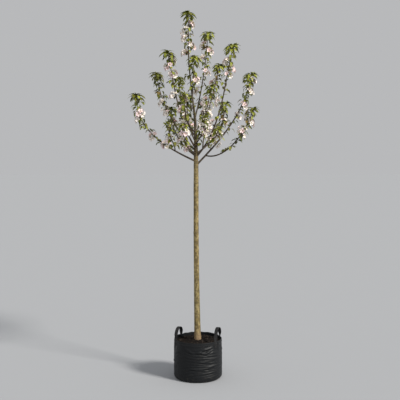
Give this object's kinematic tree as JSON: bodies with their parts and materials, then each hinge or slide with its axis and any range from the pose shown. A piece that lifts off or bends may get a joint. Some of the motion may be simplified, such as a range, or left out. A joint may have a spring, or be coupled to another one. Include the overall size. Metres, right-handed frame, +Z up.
{
  "type": "potted apple tree",
  "caption": "Young apple tree in blossom with a clear stem and an open upright crown, standing in a soft bag pot with webbing handles.",
  "frame": {"origin": "middle of the bag pot's flat underside", "axes": "+Z up along the trunk, +X to the right and -Y to the front of the pot"},
  "size_m": [0.9317, 0.808, 2.6457],
  "materials": {
    "bag_fabric": "creased black woven plastic fabric",
    "webbing": "black ribbed webbing",
    "compost": "dark crumbly compost",
    "trunk_bark": "smooth greenish tan bark with lenticels",
    "bough_bark": "dark reddish brown young bark",
    "foliage": "satin young leaves with pale blossom"
  },
  "bodies": {
    "root": {"bag": "bag_fabric", "bough_back_left": "bough_bark", "bough_back_low": "bough_bark", "bough_back_mid": "bough_bark", "bough_back_right": "bough_bark", "bough_front_left": "bough_bark", "bough_front_right": "bough_bark", "bough_inner_right": "bough_bark", "bough_left_front": "bough_bark", "bough_left_inner": "bough_bark", "bough_left_low": "bough_bark", "bough_left_low_side": "bough_bark", "bough_left_outer": "bough_bark", "bough_left_tall": "bough_bark", "bough_right_inner": "bough_bark", "bough_right_low": "bough_bark", "bough_right_low_side": "bough_bark", "bough_right_mid": "bough_bark", "bough_right_mid_side": "bough_bark", "bough_right_upper": "bough_bark", "bough_top_front": "bough_bark", "foliage_back_left": "foliage", "foliage_back_low": "foliage", "foliage_back_mid": "foliage", "foliage_back_right": "foliage", "foliage_front_left": "foliage", "foliage_front_right": "foliage", "foliage_inner_right": "foliage", "foliage_leader": "foliage", "foliage_left_front": "foliage", "foliage_left_inner": "foliage", "foliage_left_low": "foliage", "foliage_left_low_side": "foliage", "foliage_left_outer": "foliage", "foliage_left_tall": "foliage", "foliage_right_inner": "foliage", "foliage_right_low": "foliage", "foliage_right_low_side": "foliage", "foliage_right_mid": "foliage", "foliage_right_mid_side": "foliage", "foliage_right_upper": "foliage", "foliage_top_front": "foliage", "handle_left": "webbing", "handle_right": "webbing", "soil": "compost", "trunk": "trunk_bark"}
  },
  "joints": []
}
